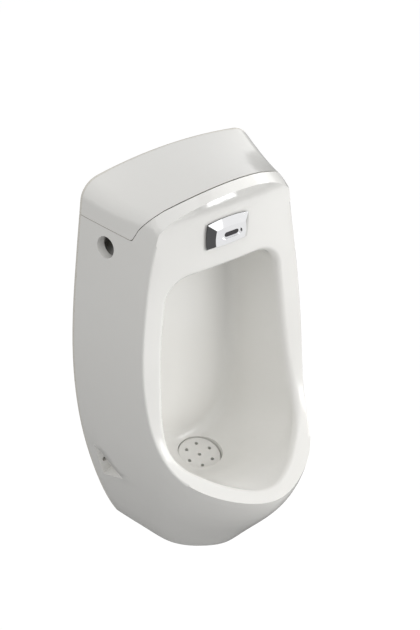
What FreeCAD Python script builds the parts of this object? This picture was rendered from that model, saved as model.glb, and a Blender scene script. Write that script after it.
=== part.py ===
import math
import os

import FreeCAD
import Part

V = FreeCAD.Vector

# Wall hung urinal. Millimetres. X runs to the user's right, Y into the wall, Z up.
# Y = 0 is the wall and X = 0 the plane of symmetry. Heights below count from the underside
# of the belly. The saved parts have their origin on the wall, midway between the hangers.

# ---------------------------------------------------------------- driving dimensions
BROW = 695.0                # height of the panel's front top edge, which carries the head
BROW_DEPTH = 199.0
BROW_ROUND = 278.0          # the edge drops by x*x over this towards the sides
BROW_PLAN_ROUND = 387.0     # and steps back by x*x over this

# outer shell, level by level: height, half width at the wall, depth of the rounded nose,
# and the extra narrowing towards the front as a share of the width
BOTTOM = (0.0, 103.0, 172.0, 0.0)
BELLY_LOW = (40.0, 123.0, 208.0, 0.0)
BELLY_HIGH = (110.0, 147.0, 271.0, 0.0)
LIP = (176.0, 163.5, 312.0, 0.0)
HIPS = (260.0, 176.5, 318.0, 0.0)
WIDEST = (367.0, 181.3, 320.0, 0.0)
CHEST = (BROW - 215.0, 174.8, 322.0, 0.03)
SHOULDER = (BROW - 105.0, 163.5, 324.0, 0.11)
CROWN = (BROW + 27.0, 147.0, 326.0, 0.34)
# plan outline of every level, as shares of its half width and of its nose depth
PLAN = ((1.0, 0.0), (0.947, 0.18), (0.888, 0.36), (0.832, 0.53),
        (0.760, 0.68), (0.630, 0.80), (0.400, 0.915), (0.0, 1.0))

# front face, seen from the side: depth and height from the brow down to the lip
CHIN = 430.0                # below this height the face doesn't move with the brow
FACE = ((213.0, BROW + 43.0), (191.0, BROW), (177.0, BROW - 21.0), (167.0, BROW - 42.0),
        (162.5, BROW - 67.0), (159.5, BROW - 110.0), (158.0, (BROW - 125.0 + CHIN) / 2),
        (158.5, CHIN), (162.0, 375.0), (169.0, 320.0), (180.0, 274.0), (195.0, 244.0),
        (222.0, 217.0), (252.0, 201.0), (286.0, 186.0), (334.0, 168.0))
PANEL_CROWN = 8.0           # how far the panel above the bowl bulges on the centre line
PANEL_CROWN_HALF = 125.0    # half width over which it does
CROWN_FROM = BROW - 225.0   # heights between which the bulge grows
CROWN_FULL = BROW - 125.0

ROOF_BACK = BROW - 17.0     # height of the lid at the wall
ROOF_BACK_ROUND = 1430.0    # drop of that edge is x*x over this
ROOF_FRONT = BROW + 14.0    # height of the lid's front seam on the centre line
ROOF_FRONT_ROUND = 270.0
SHOULDER_R = 40.0           # rounding of the lid's side edges
FOOT_R = 8.0                # rounding round the underside

# seam between lid and body, seen from the side: level ledge, then up to the roof
SEAM_Z = BROW - 87.0
SEAM = ((112.0, SEAM_Z), (123.0, SEAM_Z + 24.0), (150.0, SEAM_Z + 62.0),
        (187.0, SEAM_Z + 101.0), (214.0, SEAM_Z + 127.0))
SEAM_CORNER_R = 8.0
SEAM_GAP = 1.2

# wall thicknesses of the casting
SHELL = 11.0
LID_WALL = 9.0
BOWL_WALL = 14.0
DECK = 10.0                 # ceiling of the bowl, floor of the service space
DECK_TOP = BROW - 144.0
BACK_WEB = 16.0             # upright web that closes the service space at the wall
BACK_GRIND = 0.1            # ground off the fired back, so that it lies flat on the wall
HOLLOW_FRONT = 235.0        # the belly is solid in front of this depth

# bowl, sections square to Y: depth, half width at top, half width at bend, top, bend, bottom
CEILING = DECK_TOP - DECK
BOWL = ((50.0, 88.0, 84.0, CEILING + 1.0, 225.0, 143.0),
        (93.0, 94.0, 97.0, CEILING, 228.0, 132.0),
        (125.0, 99.0, 107.0, CEILING - 1.0, 232.0, 133.0),
        (160.0, 104.0, 117.0, CEILING - 2.0, 234.0, 146.0),
        (195.0, 107.0, 115.0, CEILING - 3.0, 235.0, 159.0),
        (222.0, 108.0, 99.0, CEILING - 3.0, 231.0, 167.5),
        (250.0, 108.0, 78.0, CEILING - 3.0, 222.0, 174.5),
        (278.0, 108.0, 50.0, CEILING - 3.0, 208.0, 181.5),
        (300.0, 108.0, 24.0, CEILING - 3.0, 200.0, 187.5))
BOWL_TOP_R = 42.0
BOWL_BOW = 5.0
BOWL_CREASE_R = 24.0
LIP_R = 13.0

SEAT_GAP = 0.2              # clearance of pieces that are pushed or screwed together

# strainer cover in its tilted round seat, and the waste below it
STRAINER_Y = -93.0
STRAINER_Z = 132.0
STRAINER_TILT = 18.0        # the cover leans towards the user
STRAINER_R = 36.0
STRAINER_THICK = 7.0
STRAINER_EDGE_R = 2.5
STRAINER_HOLE_R = 2.9
STRAINER_HOLES = 6
STRAINER_HOLE_RING = 22.6
STRAINER_HOLE_TURN = 10.0
STRAINER_GAP = 1.0          # all round in the seat
SEAT_RIM = 8.5              # width of the shelf that carries the cover
SUMP_FLOOR = 106.0
WASTE_BOSS_R = 31.0
SUMP_WALL = 10.0
WASTE_BOSS_WALL = 12.0
WASTE_BORE_R = 19.0
WASTE_TAIL_R = 16.0
WASTE_WALL = 2.0
WASTE_FLANGE_R = 26.5
WASTE_FLANGE = 2.5
WASTE_GASKET = 2.0
WASTE_WASHER = 3.0
WASTE_NUT = 9.0
WASTE_NUT_R = 25.0
WASTE_TAIL = 52.0           # length of the tail below the flange
# trap with its outlet at the wall
TRAP_BEND = 20.0
TRAP_LEGS = 48.0            # between the axes of its two upright legs
TRAP_LOW = 33.0             # height of the axis of the lowest run
TRAP_R = 16.0
TRAP_WALL = 2.2
TRAP_OUT_Z = 105.0
TRAP_SOCKET_TOP = 70.0
TRAP_SOCKET = 16.0
TRAP_SOCKET_R = 20.0
TRAP_NUT_R = 24.0
TRAP_NUT = 12.0
TRAP_NUT_CAP = 3.0
TRAP_SEAL = 2.0
WALL_SEAL_SET = 1.0         # the outlet ends this far short of the wall
WALL_SEAL_R = 30.0
WALL_SEAL = 10.0

# inlet spud through the bowl's ceiling, with the spreader below it
SPUD_Y = -94.0
SPUD_HOLE_R = 13.0
SPUD_R = 12.0
SPUD_BORE_R = 9.5
SPUD_TOP = DECK_TOP + 22.0
SPUD_THREAD = 9.0           # how far it stands into the spreader
SPREADER_R = 21.0
SPREADER = 12.0
SPREADER_CONE = 7.0         # height of its coned underside
SPREADER_FOOT_R = 13.0
SPREADER_ROOM_R = 6.5       # chamber behind the slots
SPREADER_FLOOR = 2.4
SPREADER_SLOT = 2.4
SPREADER_SLOTS = (-12.0, -6.0, 0.0, 6.0, 12.0)
SPREADER_BRIDGE = 1.5       # left between the slots and the thread
SPUD_GASKET = 2.5
SPUD_GASKET_R = 18.0
SPUD_WASHER = 2.0
SPUD_WASHER_R = 19.0
SPUD_NUT = 8.0
SPUD_NUT_FLATS = 34.0

# water way: stop valve at the wall, solenoid valve, tube to the spud
WATER_X = 60.0
WATER_Z = DECK_TOP + 39.0
NOTCH_HALF = 16.0
INLET_R = 10.4
INLET_BORE_R = 7.5
STOP_FRONT = 48.0
STOP_BACK = 18.0
STOP_R = 14.0
STOP_PORT_R = 11.0
STOP_PORT = 8.0
STOP_BONNET_R = 8.0
STOP_BONNET_TOP = WATER_Z + 22.0
STEM_R = 3.0
STEM_DEPTH = 12.0
RUNNING_GAP = 0.05
LEVER_LENGTH = 27.0
LEVER_HALF = 4.5
LEVER = 4.5
LEVER_GAP = 0.3
FILTER_R = 8.6
FILTER = 7.0
VALVE_Y = SPUD_Y            # the tube runs straight across
VALVE_R = 15.0
VALVE_HALF = 18.0           # half width of its square flange
VALVE_CORNER_R = 5.0
VALVE_BOTTOM = WATER_Z - 15.0
VALVE_FLANGE_BOTTOM = WATER_Z + 8.0
VALVE_TOP = WATER_Z + 16.0
VALVE_STUB_R = 9.0
VALVE_STUB = 25.0           # reach of the stubs from the valve's axis
UNION_R = 15.0
UNION_WASHER = 2.0
UNION_LIP = 2.5
UNION_COLLAR = 2.5
VALVE_BORE_R = 6.5
DIAPHRAGM_R = 12.5
DIAPHRAGM = 1.6
BONNET = 6.5
BONNET_SCREW = 13.5         # screws at plus and minus this
SCREW_R = 1.5
SCREW_HEAD_R = 3.0
SCREW_HEAD = 2.0
SCREW_DEPTH = 6.0
CORE_R = 5.5
CORE_BORE_R = 4.5
CORE_TOP = WATER_Z + 53.0
CORE_CAP = 2.0
COIL_R = 15.0
COIL_BOTTOM = WATER_Z + 25.5
COIL = 21.0
COIL_PLUG = 5.0
COIL_NUT = 4.5
COIL_NUT_FLATS = 16.0
PLUNGER = 19.0
SPRING_WALL = 0.8
TUBE_R = 6.0
TUBE_WALL = 1.0
TUBE_BEND = 14.0
TUBE_NUT_R = 12.0
TUBE_NUT = 9.0
TUBE_INSERT = 7.0
TUBE_NUT_OVER = 6.0         # how far each nut reaches over what it screws on

# battery box on the floor of the service space
CELL_R = 7.1
CELL_LENGTH = 50.0
CELL_GAP = 0.2
CONTACT = 0.8
BOX_WALL = 1.8
BOX_X = -80.0
BOX_Y = -119.5
BOX_COVER = 2.0

# sensor in the panel above the bowl
SENSOR_Z = BROW - 86.5
SENSOR_Y = -171.6
SENSOR_TILT = 4.5           # the cover's top leans towards the user
COVER_HALF_W = 38.0
COVER_HALF_H = 23.5
COVER_BULGE_W = 1.2
COVER_BULGE_H = 4.0
COVER_DEPTH = 9.7
PLATEAU_HALF_W = 26.7
PLATEAU_HALF_H = 15.0
PLATEAU_BULGE = 1.5
DISH_W = 37.0
DISH_H = 13.0
DISH_DEPTH = 2.4
DISH_X = 2.5
WINDOW_W = 26.0
WINDOW_H = 9.0
WINDOW_GAP = 0.1
WINDOW_SUNK = 0.6
CUTOUT_W = 58.0
CUTOUT_H = 34.0
CUTOUT_R = 4.0
GASKET_INSET = 1.5
HOUSING_W = 54.0
HOUSING_H = 30.0
HOUSING_DEPTH = 38.0
HOUSING_WALL = 2.0
BOARD = 1.6
BOARD_DEPTH = 12.0
EYE_R = 2.5
EYE_X = 7.5
EYE_BACK = 0.3              # the eyes stop this far short of the window
CLAMP_HALF_W = 16.0
CLAMP = 2.0
CLAMP_GAP = 1.0
STUD_R = 2.0
STUD_X = 9.0
STUD = 16.0
WING_NUT = 4.0
WING_NUT_R = 4.5
WING_SPAN = 11.0

# leads
LEAD_R = 1.8
LEAD_BEND = 6.0
LEAD_ENTRY = 30.0           # depth at which they enter the housing's sides

# hanger brackets
HANGER_X = 108.0
HANGER_PLATE_HALF = 19.0
HANGER_PLATE = 2.5
HANGER_LOW = DECK_TOP - 21.0
HANGER_HIGH = DECK_TOP + 49.0
HANGER_TONGUE_TOP = DECK_TOP + 25.5
HANGER_TONGUE_HALF = 13.0
HANGER_LIP = 18.0
HANGER_REACH = 4.5          # the lip stands this far in front of the web
HANGER_HOLE_R = 3.25
HANGER_HOLES = 44.0         # upright distance between them
POCKET = 7.0
POCKET_GAP = 3.0
SLOT_HEIGHT = 20.0

# side ports and lower fixings
PORT_R = 18.0
PORT_Y = -61.0
PORT_Z = DECK_TOP + 24.0
FIXING_X = 140.0
FIXING_Z = 140.0
FIXING_R = 5.0
RECESS = ((122.0, -24.0, 125.0), (175.0, -24.0, 198.0), (165.0, -24.0, 96.0),
          (146.0, -94.0, 133.0))
RECESS_GROWN = ((106.0, -20.0, 125.0), (172.0, -20.0, 214.0), (160.0, -20.0, 80.0),
                (132.0, -110.0, 133.0))
LUG = ((100.0, 190.0), (84.0, 196.0))     # across and up

PAD_R = 3.5
PAD_PLACES = ((-1, 15.0), (1, 15.0), (-1, 85.0), (1, 85.0))
PAD_IN = 5.2                # pad centres behind the outer skin

# places clear of the whole casting, and the length of a tool that cuts right through
ASIDE = 230.0
AHEAD = 420.0
BEHIND = 40.0
ABOVE = BROW + 125.0
THROUGH = 60.0


# ---------------------------------------------------------------- helpers
def chords(points):
    """Parameters of a smooth curve through the points: the running share of the length."""
    steps = [V(*b).distanceToPoint(V(*a)) for a, b in zip(points, points[1:])]
    total = sum(steps)
    run = [0.0]
    for step in steps:
        run.append(run[-1] + step / total)
    return run


def spline(points, parameters):
    curve = Part.BSplineCurve()
    curve.interpolate(Points=[V(*p) for p in points], Parameters=parameters)
    return curve.toShape()


def line(a, b):
    return Part.LineSegment(V(*a), V(*b)).toShape()


def loft(wires, ruled=False):
    return Part.makeLoft(wires, True, ruled)


def cylinder(radius, length, at, axis=(0, 0, 1)):
    return Part.makeCylinder(radius, length, V(*at), V(*axis))


def ring(radius, hole, length, at, axis=(0, 0, 1)):
    return cylinder(radius, length, at, axis).cut(cylinder(hole, length, at, axis))


def block(x0, x1, y0, y1, z0, z1):
    return Part.makeBox(x1 - x0, y1 - y0, z1 - z0, V(x0, y0, z0))


def polygon(points):
    return Part.makePolygon([V(*p) for p in points] + [V(*points[0])])


def prism(points, travel):
    return Part.Face(polygon(points)).extrude(V(*travel))


def slab(width, height, corner, depth, y0=0.0):
    """Upright slab with rounded corners, from y0 towards the wall."""
    body = block(-width / 2, width / 2, y0, y0 + depth, -height / 2, height / 2)
    upright = [e for e in body.Edges if e.BoundBox.YLength > depth / 2]
    return body.makeFillet(corner, upright)


def hexagon(flats, length, at):
    r = flats / math.sqrt(3)
    corners = [(at[0] + r * math.cos(math.radians(a)), at[1] + r * math.sin(math.radians(a)),
                at[2]) for a in range(0, 360, 60)]
    return prism(corners, (0, 0, length))


def pipe(route, bend, radius):
    """Round bar along straight runs joined by tangent arcs."""
    points = [V(*p) for p in route]
    solid = None
    start = points[0]
    for k in range(1, len(points)):
        end = points[k]
        turn = None
        if k < len(points) - 1:
            along = (points[k] - points[k - 1]).normalize()
            onward = (points[k + 1] - points[k]).normalize()
            angle = along.getAngle(onward)
            reach = bend * math.tan(angle / 2)
            end = points[k] - along * reach
            turn = (along, onward, angle, reach)
        run = end - start
        piece = Part.makeCylinder(radius, run.Length, start, run)
        solid = piece if solid is None else solid.fuse(piece)
        if turn:
            along, onward, angle, reach = turn
            side = (onward - along * onward.dot(along)).normalize()
            centre = end + side * bend
            disc = Part.Face(Part.Wire(Part.makeCircle(radius, end, along)))
            arc = disc.revolve(centre, along.cross(side), math.degrees(angle))
            solid = solid.fuse(arc)
            start = points[k] + onward * reach
    return solid.removeSplitter()


def mirrored(shape):
    return shape.mirror(V(0, 0, 0), V(1, 0, 0))


def save(shape, node):
    """Writes a part with its origin on the wall, midway between the hanger screws."""
    moved = shape.copy()
    moved.translate(V(0, 0, -(HANGER_LOW + HANGER_HIGH) / 2))
    moved.exportStep("parts/" + node + ".step")


# ---------------------------------------------------------------- outer form
PLAN_HALF = [(-w * WIDEST[1], -d * WIDEST[2], 0.0) for w, d in PLAN]
PLAN_PARAMETERS = chords(PLAN_HALF + [(-x, y, z) for x, y, z in reversed(PLAN_HALF[:-1])])
FACE_PARAMETERS = chords([(0.0, -d, z) for d, z in FACE])


def plan_wire(level, inset, back):
    height, half, nose, squeeze = level
    half -= inset
    nose -= inset
    left = [(-half * w * (1 - squeeze * d), -nose * d, height) for w, d in PLAN]
    right = [(-x, y, z) for x, y, z in reversed(left[:-1])]
    front = spline(left + right, PLAN_PARAMETERS)
    ends = [line((half, 0, height), (half, back, height)),
            line((half, back, height), (-half, back, height)),
            line((-half, back, height), (-half, 0, height))] if back > 0 else [
                line((half, 0, height), (-half, 0, height))]
    return Part.Wire([front] + ends)


def face_depth(depth, height, x, inset):
    share = min(1.0, max(0.0, (height - CROWN_FROM) / (CROWN_FULL - CROWN_FROM)))
    round_off = max(0.0, 1 - (x / PANEL_CROWN_HALF) ** 2)
    return -(depth + PANEL_CROWN * share * round_off - inset)


def face_cutter(inset):
    wires = []
    for x in (-ASIDE, -125, -85, -45, 0, 45, 85, 125, ASIDE):
        points = [(x, face_depth(d, z, x, inset), z) for d, z in FACE]
        top = (x, -AHEAD, FACE[0][1])
        low = (x, -AHEAD, FACE[-1][1])
        wires.append(Part.Wire([spline(points, FACE_PARAMETERS), line(points[-1], low), line(low, top),
                                line(top, points[0])]))
    return loft(wires)


def seam_depth(height):
    for (d0, z0), (d1, z1) in zip(SEAM, SEAM[1:]):
        if height <= z1:
            return d0 + (d1 - d0) * (height - z0) / (z1 - z0)
    return SEAM[-1][0]


def roof_cutter(inset, plain=False):
    wires = []
    for x in (-190, -150, -115, -80, -40, 0, 40, 80, 115, 150, 190):
        back = ROOF_BACK - x * x / ROOF_BACK_ROUND - inset
        seam_z = ROOF_FRONT - x * x / ROOF_FRONT_ROUND
        seam_y = -seam_depth(max(seam_z, SEAM[0][1]))
        brow_z = BROW - x * x / BROW_ROUND
        brow_y = -BROW_DEPTH + x * x / BROW_PLAN_ROUND
        rise = (seam_z - inset - back) / (0 - seam_y)
        fall = (brow_z - seam_z) / (brow_y - seam_y)
        p0 = (x, BEHIND, back - BEHIND * rise)
        p1 = (x, seam_y, seam_z - inset)
        p2 = (x, brow_y - THROUGH, brow_z - THROUGH * fall - inset)
        p3 = (x, brow_y - THROUGH, ABOVE)
        p4 = (x, BEHIND, ABOVE)
        wires.append(polygon((p0, p1, p2, p3, p4)))
    return loft(wires, plain)


def outer_form(inset=0.0, back=0.0):
    levels = (BOTTOM, BELLY_LOW, BELLY_HIGH, LIP, HIPS, WIDEST, CHEST, SHOULDER, CROWN)
    body = loft([plan_wire(level, inset, back) for level in levels])
    body = body.cut(face_cutter(inset))
    return body.cut(roof_cutter(inset))



# ---------------------------------------------------------------- bowl
def bowl_side(section, grow):
    """Right side, floor and left side of one section, from corner to corner."""
    depth, top_half, bend_half, top, bend, bottom = section
    top_half += grow
    bend_half += grow
    corner = top - BOWL_TOP_R
    rise = bend - bottom + grow
    side = [(top_half, -depth, corner)]
    for share in (0.72, 0.36):
        x = bend_half + (top_half - bend_half) * share + 4 * BOWL_BOW * share * (1 - share)
        side.append((x, -depth, bend + (corner - bend) * share))
    for angle in (0, 30, 60):
        a = math.radians(angle)
        side.append((bend_half * math.cos(a), -depth, bend - rise * math.sin(a)))
    side.append((0, -depth, bottom - grow))
    return side + [(-x, y, z) for x, y, z in reversed(side[:-1])]


def bowl_wire(section, grow):
    side = bowl_side(section, grow)
    half, y, corner = side[0]
    r = BOWL_TOP_R + grow
    top = corner + r
    k = r * (1 - math.sqrt(0.5))
    right = Part.Arc(V(half - r, y, top), V(half - k, y, top - k), V(half, y, corner)).toShape()
    left = Part.Arc(V(-half, y, corner), V(-half + k, y, top - k), V(-half + r, y, top)).toShape()
    crown = line((-half + r, y, top), (half - r, y, top))
    return Part.Wire([right, spline(side, BOWL_PARAMETERS), left, crown])


def bowl_form(grow=0.0):
    sections = list(BOWL)
    d0, d1 = sections[0][0], sections[1][0]
    if grow:
        share = grow / (d1 - d0)
        first = tuple(a - (b - a) * share for a, b in zip(sections[0], sections[1]))
        sections[0] = first
    return loft([bowl_wire(section, grow) for section in sections])


BOWL_PARAMETERS = chords(bowl_side(BOWL[2], 0.0))


# ---------------------------------------------------------------- casting
def level_at(height):
    levels = (BOTTOM, BELLY_LOW, BELLY_HIGH, LIP, HIPS, WIDEST, CHEST, SHOULDER, CROWN)
    for low, high in zip(levels, levels[1:]):
        if height <= high[0]:
            share = (height - low[0]) / (high[0] - low[0])
            return tuple(a + (b - a) * share for a, b in zip(low, high))
    return levels[-1]


def half_width(height, depth):
    """Half width of the outer skin at a height and a depth from the wall."""
    _, half, nose, squeeze = level_at(height)
    d = depth / nose
    for (w0, d0), (w1, d1) in zip(PLAN, PLAN[1:]):
        if d <= d1:
            w = w0 + (w1 - w0) * (d - d0) / (d1 - d0)
            return half * w * (1 - squeeze * d)
    return 0.0


def offset_profile(points, distance):
    """Points moved square to the line, towards the wall."""
    moved = []
    for k, (d, z) in enumerate(points):
        a = points[max(0, k - 1)]
        b = points[min(len(points) - 1, k + 1)]
        run = math.hypot(b[0] - a[0], b[1] - a[1])
        moved.append((d + (b[1] - a[1]) / run * distance, z - (b[0] - a[0]) / run * distance))
    return moved


def inner_form(side_wall, front_wall, roof_wall):
    """Plain form inside the outer skin, open to the wall, that hollows the casting."""
    wires = []
    for level in (BOTTOM, BELLY_HIGH, HIPS, CHEST, CROWN):
        height, half, nose, squeeze = level
        height = max(height, side_wall)
        half -= side_wall
        nose -= side_wall
        left = [(-half * w * (1 - squeeze * d), -nose * d, height) for w, d in PLAN[::2]]
        left.append((0, -nose, height))
        right = [(-x, y, z) for x, y, z in reversed(left[:-1])]
        wires.append(polygon([(-half, 5, height)] + left + right + [(half, 5, height)]))
    form = loft(wires, True)
    profile = offset_profile(FACE[::2] + FACE[-1:], front_wall)
    profile = [(-ASIDE, -d, z) for d, z in profile]
    corners = [(-ASIDE, -AHEAD, profile[-1][2]), (-ASIDE, -AHEAD, profile[0][2])]
    face = prism(profile + corners, (2 * ASIDE, 0, 0))
    form = form.cut(face)
    return form.cut(roof_cutter(roof_wall, True))


def lid_region(shift_y=0.0, shift_z=0.0):
    """Everything above the seam; shifted, it also leaves the seam's gap."""
    line_up = [(-ASIDE, BEHIND, SEAM[0][1] - shift_z)]
    line_up += [(-ASIDE, -d - shift_y, z - shift_z) for d, z in SEAM]
    line_up += [(-ASIDE, -SEAM[-1][0] - shift_y, ABOVE), (-ASIDE, BEHIND, ABOVE)]
    region = prism(line_up, (2 * ASIDE, 0, 0))
    corner = [e for e in region.Edges if e.BoundBox.XLength > ASIDE
              and abs(e.BoundBox.YMin + SEAM[0][0] + shift_y) < 0.1 and e.BoundBox.ZMax < SEAM_Z + 1]
    return region.makeFillet(SEAM_CORNER_R, corner)


def bowl_block():
    """Plain outside of the bowl's wall, as it shows in the hollow behind."""
    wires = []
    for section in BOWL[::2]:
        depth, top_half, bend_half, top, bend, bottom = section
        if section is BOWL[0]:
            depth -= BOWL_WALL
        g = BOWL_WALL
        right = [(top_half + g, -depth, DECK_TOP), (bend_half + g, -depth, bend)]
        for angle in (30, 60):
            a = math.radians(angle)
            right.append(((bend_half + g) * math.cos(a), -depth,
                          bend - (bend - bottom + g) * math.sin(a)))
        left = [(-x, y, z) for x, y, z in reversed(right)]
        wires.append(polygon(right + [(0, -depth, bottom - g)] + left))
    return loft(wires, True)


def tetra(points):
    a, b, c, d = [V(*p) for p in points]
    faces = [Part.Face(Part.makePolygon([p, q, r, p])) for p, q, r in
             ((a, b, c), (a, b, d), (b, c, d), (c, a, d))]
    return Part.Solid(Part.Shell(faces))


def casting_form():
    form = outer_form()
    shoulders = [e for e in form.Edges if e.BoundBox.YLength > 60 and e.BoundBox.ZMin > BROW - 95
                 and e.BoundBox.XLength < 60 and e.Length > 60]
    form = form.makeFillet(SHOULDER_R, shoulders)
    foot = [e for e in form.Edges if e.BoundBox.ZMax < 1 and e.BoundBox.YMin < -100]
    form = form.makeFillet(FOOT_R, foot)
    return form.cut(block(-ASIDE, ASIDE, -BACK_GRIND, BEHIND, -BEHIND, ABOVE))


def sensor_placed(shape):
    """From the sensor's own frame, where the cover's back is the plane y = 0."""
    placed = shape.copy()
    placed.rotate(V(0, 0, 0), V(1, 0, 0), SENSOR_TILT)
    placed.translate(V(0, SENSOR_Y, SENSOR_Z))
    return placed


def strainer_axis():
    tilt = math.radians(STRAINER_TILT)
    return V(0, -math.sin(tilt), math.cos(tilt))


def strainer_point(depth):
    return V(0, STRAINER_Y, STRAINER_Z) - strainer_axis() * depth


def hanger_pocket():
    half = HANGER_PLATE_HALF + POCKET_GAP
    pocket = block(HANGER_X - half, HANGER_X + half, -POCKET, BEHIND,
                   CEILING - SHELL, HANGER_HIGH + POCKET_GAP)
    slot_half = HANGER_TONGUE_HALF + 2
    slot = block(HANGER_X - slot_half, HANGER_X + slot_half, -BACK_WEB - 1, 1,
                 HANGER_TONGUE_TOP - SLOT_HEIGHT, HANGER_TONGUE_TOP)
    return pocket.fuse(slot)


def casting_hollow():
    inner = inner_form(SHELL, SHELL, LID_WALL)
    low = inner.common(block(-ASIDE, ASIDE, -HOLLOW_FRONT, BEHIND, 0, CEILING))
    low = low.cut(bowl_block())
    lug = block(LUG[0][0], LUG[0][1], RECESS[0][1] - SHELL, BEHIND, LUG[1][0], LUG[1][1])
    wall = tetra(RECESS_GROWN)
    for piece in (lug, mirrored(lug), wall, mirrored(wall)):
        low = low.cut(piece)
    low = low.cut(cylinder(WASTE_BOSS_R, THROUGH, (0, STRAINER_Y, SUMP_FLOOR - WASTE_BOSS_WALL)))
    low = low.cut(cylinder(STRAINER_R - SEAT_RIM + SUMP_WALL, THROUGH, (0, STRAINER_Y, SUMP_FLOOR)))
    high = inner.common(block(-ASIDE, ASIDE, -AHEAD, -BACK_WEB, DECK_TOP, ABOVE))
    return low, high


def casting(form, low, high):
    bowl = bowl_form()
    back = [e for e in bowl.Edges if e.BoundBox.YMin > -BOWL[0][0] - 1]
    bowl = bowl.makeFillet(BOWL_CREASE_R, back)
    body = form.cut(bowl)
    loop = [e for e in body.Edges if e.BoundBox.ZMax < DECK_TOP + 9 and e.BoundBox.YMax < -140
            and e.BoundBox.ZMin > 170]
    body = body.makeFillet(LIP_R, loop)
    body = body.cut(low).cut(high).cut(lid_region(SEAM_GAP * 0.75, SEAM_GAP))
    recess = tetra(RECESS)
    fixing = cylinder(FIXING_R, THROUGH, (FIXING_X, BEHIND / 2 - THROUGH, FIXING_Z), (0, 1, 0))
    port = cylinder(PORT_R, 2 * ASIDE, (-ASIDE, PORT_Y, PORT_Z), (1, 0, 0))
    pocket = hanger_pocket()
    for piece in (recess, mirrored(recess), fixing, mirrored(fixing), port, pocket,
                  mirrored(pocket)):
        body = body.cut(piece)
    notch = cylinder(NOTCH_HALF, BACK_WEB + 2, (WATER_X, -BACK_WEB - 1, WATER_Z), (0, 1, 0))
    notch = notch.fuse(block(WATER_X - NOTCH_HALF, WATER_X + NOTCH_HALF, -BACK_WEB - 1, 1,
                             WATER_Z, WATER_Z + THROUGH))
    body = body.cut(notch)
    body = body.cut(cylinder(SPUD_HOLE_R, THROUGH, (0, SPUD_Y, DECK_TOP - THROUGH / 2)))
    seat = Part.makeCylinder(STRAINER_R + STRAINER_GAP, THROUGH, strainer_point(STRAINER_THICK),
                             strainer_axis())
    sump = cylinder(STRAINER_R - SEAT_RIM, THROUGH, (0, STRAINER_Y, SUMP_FLOOR))
    sump = sump.cut(Part.makeCylinder(2 * STRAINER_R, THROUGH, strainer_point(0), strainer_axis()))
    bore = cylinder(WASTE_BORE_R, THROUGH, (0, STRAINER_Y, SUMP_FLOOR - THROUGH / 2))
    body = body.cut(seat).cut(sump).cut(bore)
    cutout = slab(CUTOUT_W, CUTOUT_H, CUTOUT_R, THROUGH, -THROUGH / 3)
    return body.cut(sensor_placed(cutout))


def lid(form):
    inner = inner_form(LID_WALL, SHELL, LID_WALL)
    inner = inner.common(block(-ASIDE, ASIDE, -AHEAD, -LID_WALL, 0, ABOVE))
    return form.common(lid_region()).cut(inner)


# ---------------------------------------------------------------- strainer and waste
def strainer():
    axis = strainer_axis()
    under = strainer_point(STRAINER_THICK)
    cover = Part.makeCylinder(STRAINER_R, STRAINER_THICK, under, axis)
    top = [e for e in cover.Edges if e.Length > STRAINER_R and e.CenterOfMass.z > under.z + 1]
    cover = cover.makeFillet(STRAINER_EDGE_R, top)
    up = axis.cross(V(1, 0, 0))
    cover = cover.cut(Part.makeCylinder(STRAINER_HOLE_R, 30, under - axis * 5, axis))
    for k in range(STRAINER_HOLES):
        a = math.radians(STRAINER_HOLE_TURN + 360 * k / STRAINER_HOLES)
        at = V(1, 0, 0) * (STRAINER_HOLE_RING * math.cos(a)) + up * (STRAINER_HOLE_RING * math.sin(a))
        cover = cover.cut(Part.makeCylinder(STRAINER_HOLE_R, 30, under + at - axis * 5, axis))
    return cover


def waste():
    """Flanged waste in the sump, drawn down on the boss by a nut from below."""
    y = STRAINER_Y
    boss = SUMP_FLOOR - WASTE_BOSS_WALL
    flange = SUMP_FLOOR + WASTE_GASKET
    tail_r = WASTE_TAIL_R
    fitting = cylinder(WASTE_FLANGE_R, WASTE_FLANGE, (0, y, flange))
    fitting = fitting.fuse(cylinder(tail_r, WASTE_TAIL, (0, y, flange - WASTE_TAIL)))
    fitting = fitting.cut(cylinder(tail_r - WASTE_WALL, WASTE_TAIL + 20, (0, y, flange - WASTE_TAIL - 5)))
    gasket = ring(WASTE_FLANGE_R, WASTE_BORE_R, WASTE_GASKET, (0, y, SUMP_FLOOR))
    washer = ring(WASTE_NUT_R + 2, tail_r + SEAT_GAP, WASTE_WASHER, (0, y, boss - WASTE_WASHER))
    nut = ring(WASTE_NUT_R, tail_r + SEAT_GAP, WASTE_NUT, (0, y, boss - WASTE_WASHER - WASTE_NUT))
    for k in range(6):
        a = math.radians(60 * k)
        nut = nut.cut(cylinder(3, 20, (WASTE_NUT_R * math.cos(a), y + WASTE_NUT_R * math.sin(a),
                                       boss - WASTE_WASHER - 15)))
    return fitting, gasket, washer, nut


def trap():
    """Tube with a socket on top, a U that holds the water seal, and a level outlet."""
    y0 = STRAINER_Y
    y1 = y0 + TRAP_LEGS
    low = TRAP_SOCKET_TOP - TRAP_SOCKET
    tail_low = SUMP_FLOOR + WASTE_GASKET - WASTE_TAIL
    middle = [(0, y0, TRAP_LOW), (0, y1, TRAP_LOW), (0, y1, TRAP_OUT_Z)]
    outer = pipe([(0, y0, low)] + middle + [(0, -WALL_SEAL_SET, TRAP_OUT_Z)], TRAP_BEND, TRAP_R)
    outer = outer.fuse(cylinder(TRAP_SOCKET_R, TRAP_SOCKET, (0, y0, low)))
    socket = cylinder(WASTE_TAIL_R + SEAT_GAP, TRAP_SOCKET, (0, y0, tail_low))
    bore = pipe([(0, y0, TRAP_SOCKET_TOP + 1)] + middle + [(0, BEHIND, TRAP_OUT_Z)], TRAP_BEND,
                TRAP_R - TRAP_WALL)
    return outer.cut(bore).cut(socket)


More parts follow.
